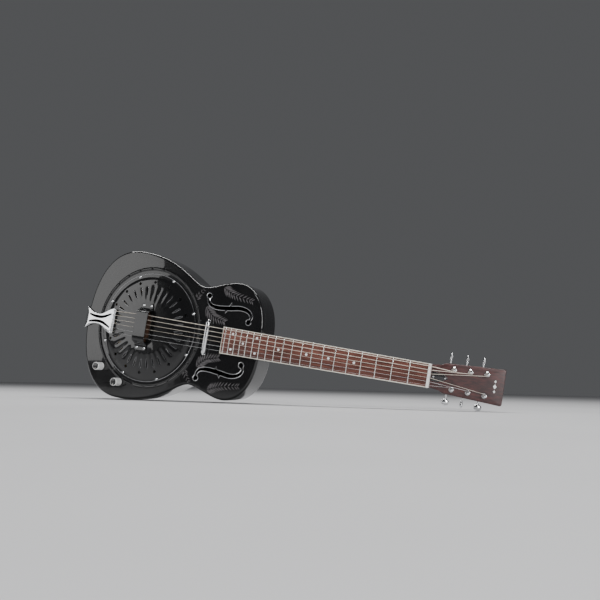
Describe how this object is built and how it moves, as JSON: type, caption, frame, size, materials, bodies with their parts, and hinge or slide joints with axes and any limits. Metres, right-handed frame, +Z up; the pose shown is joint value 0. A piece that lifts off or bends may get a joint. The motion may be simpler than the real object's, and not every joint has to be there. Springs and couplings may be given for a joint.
{
  "type": "resonator guitar",
  "caption": "Resonator guitar with a hollow lacquered metal body, a spun cone under a pierced cover plate, f-shaped sound holes, a pickup and geared tuners, resting on its side.",
  "frame": {"origin": "bottom centre of the bounding box, on the ground the instrument rests on", "axes": "+X along the instrument's length towards the headstock, -Y out of the body top, +Z up; the neck slopes down 8.8 degrees towards the headstock"},
  "size_m": [0.9646, 0.092, 0.3422],
  "materials": {
    "lacquered_shell": "high gloss black lacquer",
    "chrome_fittings": "polished plate",
    "brass_inside": "satin",
    "spun_cone": "spun satin",
    "rosewood": "oiled",
    "mahogany": "gloss lacquer",
    "maple": "bare",
    "ivory_plastic": "polished",
    "black_plastic": "polished",
    "steel": "bright",
    "bronze_wound": "wound wire"
  },
  "bodies": {
    "body": {"body_top": "lacquered_shell", "body_back": "lacquered_shell", "body_side_bass": "lacquered_shell", "body_side_treble": "lacquered_shell", "sound_well": "brass_inside", "resonator_cone": "spun_cone", "biscuit": "maple", "saddle": "maple", "cover_plate": "lacquered_shell", "cover_screw_1": "chrome_fittings", "cover_screw_2": "chrome_fittings", "cover_screw_3": "chrome_fittings", "cover_screw_4": "chrome_fittings", "cover_screw_5": "chrome_fittings", "cover_screw_6": "chrome_fittings", "cover_screw_7": "chrome_fittings", "cover_screw_8": "chrome_fittings", "hand_rest": "lacquered_shell", "hand_rest_screw_1": "chrome_fittings", "hand_rest_screw_2": "chrome_fittings", "hand_rest_screw_3": "chrome_fittings", "hand_rest_screw_4": "chrome_fittings", "neck": "mahogany", "neck_stick": "maple", "truss_rod": "steel", "fretboard": "rosewood", "fretboard_binding": "ivory_plastic", "nut": "ivory_plastic", "truss_rod_cover": "black_plastic", "tuner_plate_bass": "chrome_fittings", "tuner_plate_treble": "chrome_fittings", "tailpiece": "chrome_fittings", "strap_button": "chrome_fittings", "pickup": "chrome_fittings", "jack_plate": "chrome_fittings", "output_jack": "steel", "string_6": "bronze_wound", "string_5": "bronze_wound", "string_4": "bronze_wound", "string_3": "bronze_wound", "string_2": "bronze_wound", "string_1": "steel", "volume_pot": "steel", "tone_pot": "steel"},
    "volume_knob": {"volume_knob": "chrome_fittings", "volume_shaft": "brass_inside"},
    "tone_knob": {"tone_knob": "chrome_fittings", "tone_shaft": "brass_inside"},
    "tuner_button_bass_1": {"tuner_button_bass_1": "chrome_fittings"},
    "string_post_bass_1": {"string_post_bass_1": "chrome_fittings"},
    "tuner_button_bass_2": {"tuner_button_bass_2": "chrome_fittings"},
    "string_post_bass_2": {"string_post_bass_2": "chrome_fittings"},
    "tuner_button_bass_3": {"tuner_button_bass_3": "chrome_fittings"},
    "string_post_bass_3": {"string_post_bass_3": "chrome_fittings"},
    "tuner_button_treble_1": {"tuner_button_treble_1": "chrome_fittings"},
    "string_post_treble_1": {"string_post_treble_1": "chrome_fittings"},
    "tuner_button_treble_2": {"tuner_button_treble_2": "chrome_fittings"},
    "string_post_treble_2": {"string_post_treble_2": "chrome_fittings"},
    "tuner_button_treble_3": {"tuner_button_treble_3": "chrome_fittings"},
    "string_post_treble_3": {"string_post_treble_3": "chrome_fittings"}
  },
  "joints": [
    {"name": "volume_turn", "type": "hinge", "parent": "body", "child": "volume_knob", "pos_m": [-0.41927, -0.02, 0.07465], "axis": [0, -1, 0], "range_deg": [-150, 150]},
    {"name": "tone_turn", "type": "hinge", "parent": "body", "child": "tone_knob", "pos_m": [-0.36807, -0.02, 0.03939], "axis": [0, -1, 0], "range_deg": [-150, 150]},
    {"name": "button_turn_bass_1", "type": "hinge", "parent": "body", "child": "tuner_button_bass_1", "pos_m": [0.37845, 0.00215, 0.07815], "axis": [0.1533, 0, 0.9882], "continuous": true},
    {"name": "post_turn_bass_1", "type": "hinge", "parent": "body", "child": "string_post_bass_1", "pos_m": [0.38982, -0.01466, 0.07638], "axis": [0.2391, -0.9703, -0.0371], "continuous": true},
    {"name": "button_turn_bass_2", "type": "hinge", "parent": "body", "child": "tuner_button_bass_2", "pos_m": [0.40781, 0.00953, 0.0744], "axis": [0.1533, 0, 0.9882], "continuous": true},
    {"name": "post_turn_bass_2", "type": "hinge", "parent": "body", "child": "string_post_bass_2", "pos_m": [0.41919, -0.00728, 0.07264], "axis": [0.2391, -0.9703, -0.0371], "continuous": true},
    {"name": "button_turn_bass_3", "type": "hinge", "parent": "body", "child": "tuner_button_bass_3", "pos_m": [0.43718, 0.01691, 0.07065], "axis": [0.1533, 0, 0.9882], "continuous": true},
    {"name": "post_turn_bass_3", "type": "hinge", "parent": "body", "child": "string_post_bass_3", "pos_m": [0.44855, 0.0001, 0.06889], "axis": [0.2391, -0.9703, -0.0371], "continuous": true},
    {"name": "button_turn_treble_1", "type": "hinge", "parent": "body", "child": "tuner_button_treble_1", "pos_m": [0.37272, 0.00215, 0.04119], "axis": [-0.1533, 0, -0.9882], "continuous": true},
    {"name": "post_turn_treble_1", "type": "hinge", "parent": "body", "child": "string_post_treble_1", "pos_m": [0.38409, -0.01466, 0.03942], "axis": [0.2391, -0.9703, -0.0371], "continuous": true},
    {"name": "button_turn_treble_2", "type": "hinge", "parent": "body", "child": "tuner_button_treble_2", "pos_m": [0.40184, 0.00953, 0.03586], "axis": [-0.1533, 0, -0.9882], "continuous": true},
    {"name": "post_turn_treble_2", "type": "hinge", "parent": "body", "child": "string_post_treble_2", "pos_m": [0.41321, -0.00728, 0.0341], "axis": [0.2391, -0.9703, -0.0371], "continuous": true},
    {"name": "button_turn_treble_3", "type": "hinge", "parent": "body", "child": "tuner_button_treble_3", "pos_m": [0.43096, 0.01691, 0.03053], "axis": [-0.1533, 0, -0.9882], "continuous": true},
    {"name": "post_turn_treble_3", "type": "hinge", "parent": "body", "child": "string_post_treble_3", "pos_m": [0.44233, 0.0001, 0.02877], "axis": [0.2391, -0.9703, -0.0371], "continuous": true}
  ],
  "couplings": [
    {"joint": "post_turn_bass_1", "follows": "button_turn_bass_1", "ratio": 0.071429},
    {"joint": "post_turn_bass_2", "follows": "button_turn_bass_2", "ratio": 0.071429},
    {"joint": "post_turn_bass_3", "follows": "button_turn_bass_3", "ratio": 0.071429},
    {"joint": "post_turn_treble_1", "follows": "button_turn_treble_1", "ratio": -0.071429},
    {"joint": "post_turn_treble_2", "follows": "button_turn_treble_2", "ratio": -0.071429},
    {"joint": "post_turn_treble_3", "follows": "button_turn_treble_3", "ratio": -0.071429}
  ]
}
